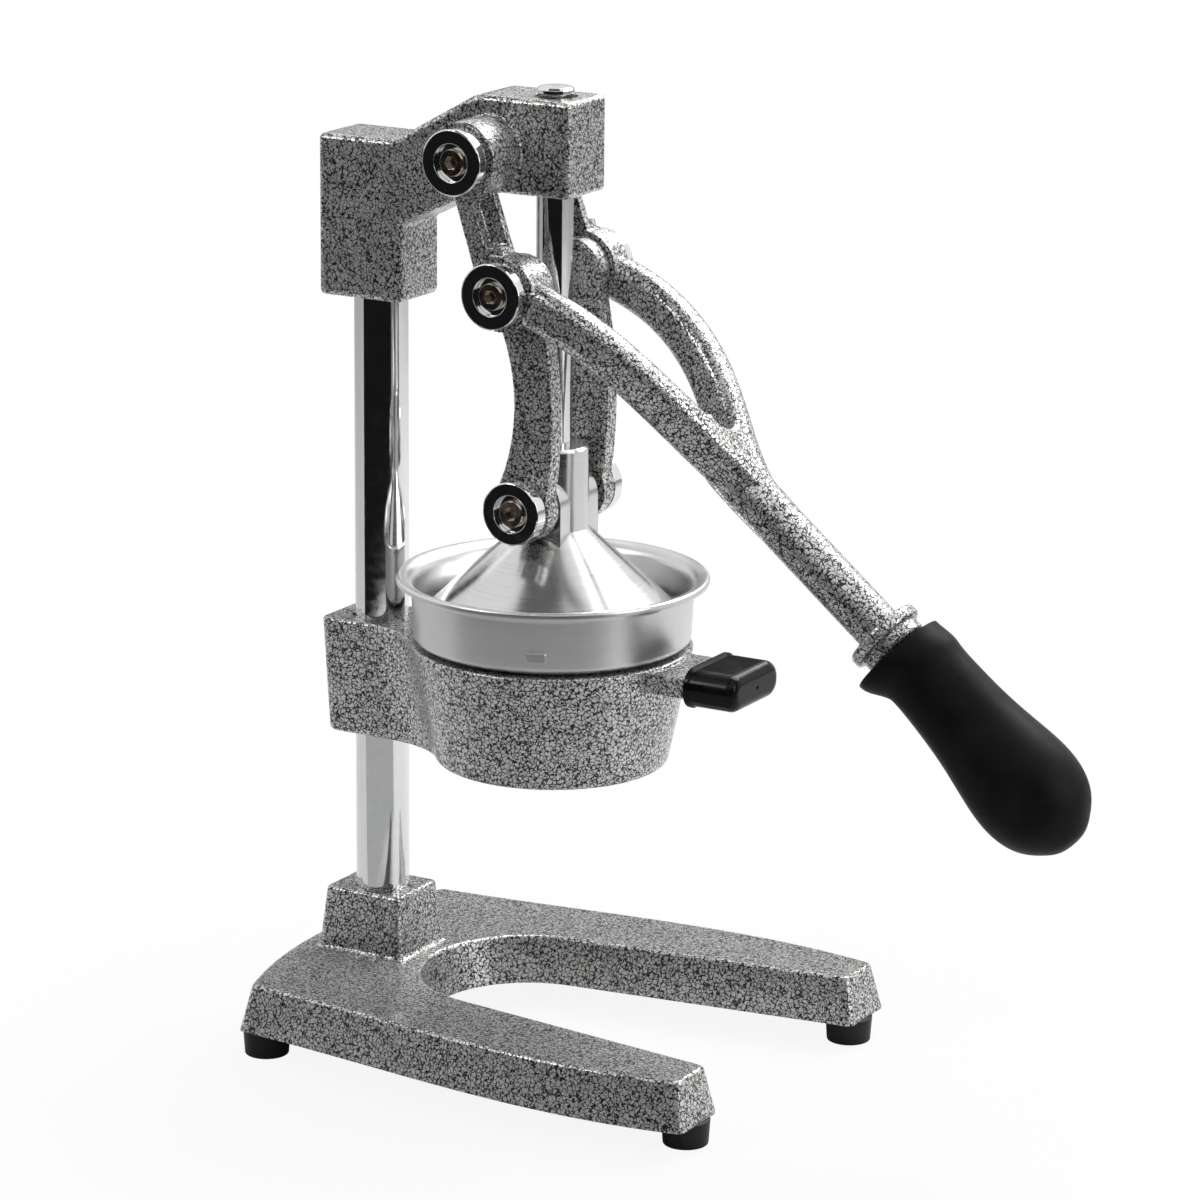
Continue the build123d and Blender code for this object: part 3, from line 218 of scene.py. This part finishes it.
finishes = {
    "hammer_paint": hammer_paint(),
    "chrome": chrome(),
    "stainless": turned_metal(
        "stainless",
        levels=(0.60, 0.67),
        roughness=(0.28, 0.38),
        line=0.0006,
        depth=0.000006,
        edge=0.0005,
    ),
    "polished_aluminium": turned_metal(
        "polished_aluminium",
        levels=(0.60, 0.66),
        roughness=(0.16, 0.24),
        line=0.0011,
        depth=0.000004,
        edge=0.0008,
    ),
    # Dark bronze: partly the bushing's oiled tone, partly painted shade for the dark ring where it
    # sits in its bore round the rod.
    "bronze": plain_metal(
        "bronze",
        colours=((0.1, 0.075, 0.045, 1), (0.2, 0.15, 0.085, 1)),
        roughness=(0.35, 0.5),
        grain=0.0006,
    ),
    "steel": plain_metal(
        "steel",
        colours=((0.44, 0.38, 0.31, 1), (0.50, 0.44, 0.37, 1)),
        roughness=(0.16, 0.24),
        grain=0.004,
    ),
    "black_rubber": black_soft(
        "black_rubber",
        level=0.005,
        roughness=(0.42, 0.55),
        grain=0.0007,
        depth=0.00005,
        gloss=0.07,
        edge=0.0006,
    ),
    "black_vinyl": black_soft(
        "black_vinyl",
        level=0.004,
        roughness=(0.14, 0.22),
        grain=0.004,
        depth=0.00008,
        gloss=0.15,
        edge=0.0008,
    ),
    "foot_rubber": black_soft(
        "foot_rubber",
        level=0.006,
        roughness=(0.4, 0.55),
        grain=0.0008,
        depth=0.00006,
        gloss=0.25,
        edge=0.0006,
    ),
}

for part in frame["record"]["subparts"]:
    node = frame["nodes"][part["node"]]
    node.data.materials.clear()
    node.data.materials.append(finishes[part["material_slot"]])


# ------------------------------------------------------------------ studio
def add_mesh(name, corners, faces):
    """An object made of these faces."""
    mesh = bpy.data.meshes.new(name)
    mesh.from_pydata(corners, [], faces)
    made = bpy.data.objects.new(name, mesh)
    bpy.context.scene.collection.objects.link(made)
    return made


def aimed(place, point, axis):
    """The rotation that turns one axis of an object at a place towards a point."""
    return (Vector(point) - Vector(place)).to_track_quat(axis, "Y").to_euler()


def stage_plane(name, centre, facing, width, height):
    """A flat sheet of the studio, facing a point."""
    half_w, half_h = width / 2, height / 2
    corners = [
        (-half_w, -half_h, 0), (half_w, -half_h, 0), (half_w, half_h, 0), (-half_w, half_h, 0)
    ]
    plane = add_mesh(name, corners, [(0, 1, 2, 3)])
    plane.location = centre
    plane.rotation_euler = aimed(centre, facing, "Z")
    return plane


def curved_sheet(name, inner, outer, start, end, steps=24):
    """A sheet curved round the press axis, between two angles in degrees from the -Y side.

    Its two edges are given by their distance from the axis and their height."""
    corners, faces = [], []
    for step in range(steps + 1):
        turn = math.radians(start + (end - start) * step / steps)
        for distance, height in (inner, outer):
            x, y = press_x + distance * math.sin(turn), -distance * math.cos(turn)
            corners.append((x, y, height))
        if step:
            faces.append((2 * step - 2, 2 * step, 2 * step + 1, 2 * step - 1))
    sheet = add_mesh(name, corners, faces)
    return sheet


def metal_only(sheet, level):
    """Make a sheet seen in reflections only, glowing at a plain level of grey: a painted
    reflection.
    """
    dark = Finish(
        sheet.name,
        Base_Color=grey(0.01),
        Roughness=1.0,
        Specular_IOR_Level=0.0,
        Emission_Color=grey(1.0),
        Emission_Strength=level,
    )
    sheet.data.materials.append(dark.material)
    sheet.visible_camera = sheet.visible_diffuse = sheet.visible_shadow = False
    sheet.visible_transmission = sheet.visible_volume_scatter = False


def floor_material():
    """A pale floor that is white to the camera, but for the object's shadow near by."""
    shadow_end, white_start = 0.12, 0.42    # distance from the middle of the floor
    least_white = 0.9

    floor = Finish("studio_floor", Base_Color=grey(0.7), Roughness=0.8)
    path = floor.node("ShaderNodeLightPath").outputs["Is Camera Ray"]
    away = floor.node("ShaderNodeVectorMath", {0: floor.place}, operation="LENGTH")
    whiteness = floor.ramp(away.outputs["Value"], shadow_end, white_start, least_white, 1.0)
    share = floor.calculate("MULTIPLY", path, whiteness)
    white = floor.node("ShaderNodeEmission", {"Color": grey(1.0), "Strength": 1.0})
    layers = {0: share, 1: floor.shader.outputs[0], 2: white.outputs[0]}
    blend = floor.node("ShaderNodeMixShader", layers)
    output = floor.tree.nodes["Material Output"]
    floor.tree.links.new(blend.outputs[0], output.inputs["Surface"])
    return floor.material


def soft_box(name, place, size, power):
    """A square area lamp aimed at the middle of the press."""
    lamp = bpy.data.lights.new(name, "AREA")
    lamp.size, lamp.energy = size, power
    box = bpy.data.objects.new(name, lamp)
    box.location = place
    box.rotation_euler = aimed(place, (press_x, 0, 0.22), "-Z")
    bpy.context.scene.collection.objects.link(box)


def studio_world(lighting, shown):
    """A white world: how strongly it lights matt surfaces, and how bright all else sees it."""
    world = bpy.data.worlds.new("studio")
    bpy.context.scene.world = world
    world.use_nodes = True
    links, nodes = world.node_tree.links, world.node_tree.nodes
    path = nodes.new("ShaderNodeLightPath")
    seen = path.outputs["Is Camera Ray"]
    for ray in ("Is Glossy Ray", "Is Transmission Ray"):
        either = nodes.new("ShaderNodeMath")
        either.operation = "MAXIMUM"
        links.new(seen, either.inputs[0])
        links.new(path.outputs[ray], either.inputs[1])
        seen = either.outputs[0]
    strength = nodes.new("ShaderNodeMapRange")
    strength.inputs["To Min"].default_value = lighting
    strength.inputs["To Max"].default_value = shown
    links.new(seen, strength.inputs["Value"])
    sky = nodes["Background"]
    links.new(strength.outputs[0], sky.inputs["Strength"])
    sky.inputs["Color"].default_value = grey(1.0)


floor = stage_plane("studio_floor", (0, 0, 0), (0, 0, 1), 24, 24)
floor.data.materials.append(floor_material())

# What the metal sees of the studio: painted reflections from sheets seen only in reflections. The
# first three lie round the camera's side.
near_side = {"start": -52.0, "end": 76.0}
wall_distance, wall_height = 1.05, 0.8
ground = 0.003      # just above the floor
metal_only(
    curved_sheet("dark_wall", (wall_distance, 0.0), (wall_distance, wall_height), **near_side), 0.0
)
metal_only(curved_sheet("dark_ground", (0.66, ground), (wall_distance, ground), **near_side), 0.0)
metal_only(curved_sheet("grey_ground", (0.2, ground), (0.5, ground), **near_side), 0.45)
metal_only(curved_sheet("back_card", (1.0, 0.25), (1.0, 0.56), start=185.0, end=235.0), 0.1)
roof_x, roof_y, roof_height = press_x - 0.05, -0.25, 1.25
metal_only(
    stage_plane("grey_roof", (roof_x, roof_y, roof_height), (roof_x, roof_y, 0), 0.6, 0.8), 0.12
)

soft_box("top", (0.15, 0.85, 1.25), size=1.0, power=20)
soft_box("right", (1.6, 0.1, 0.8), size=0.9, power=9)
soft_box("left", (-0.95, -1.25, 1.25), size=0.5, power=6)
studio_world(lighting=0.4, shown=1.0)


# ------------------------------------------------------------------ camera
def add_camera(place, azimuth, pitch, roll, focal_pixels, frame_pixels):
    """The scene's camera. Azimuth 0 looks along +Y, and pitch is below the horizon."""
    sensor_width = 36.0     # millimetres, as the lens is
    data = bpy.data.cameras.new("camera")
    data.sensor_width = sensor_width
    data.lens = focal_pixels / frame_pixels * sensor_width
    back = Vector(
        (
            math.sin(azimuth) * math.cos(pitch),
            -math.cos(azimuth) * math.cos(pitch),
            math.sin(pitch),
        )
    )
    level = Vector((math.cos(azimuth), math.sin(azimuth), 0))
    upright = back.cross(level)
    right = level * math.cos(roll) + upright * math.sin(roll)
    up = upright * math.cos(roll) - level * math.sin(roll)
    camera = bpy.data.objects.new("camera", data)
    turned = Matrix((right, up, back)).transposed().to_4x4()
    camera.matrix_world = Matrix.Translation(place) @ turned
    bpy.context.scene.collection.objects.link(camera)
    bpy.context.scene.camera = camera


add_camera(
    place=Vector((0.9415, -1.7058, 0.7216)),
    azimuth=math.radians(29.91),
    pitch=math.radians(14.93),
    roll=math.radians(0.50),
    focal_pixels=4970.7,
    frame_pixels=1200.0,
)
bpy.context.scene.view_settings.view_transform = "Standard"
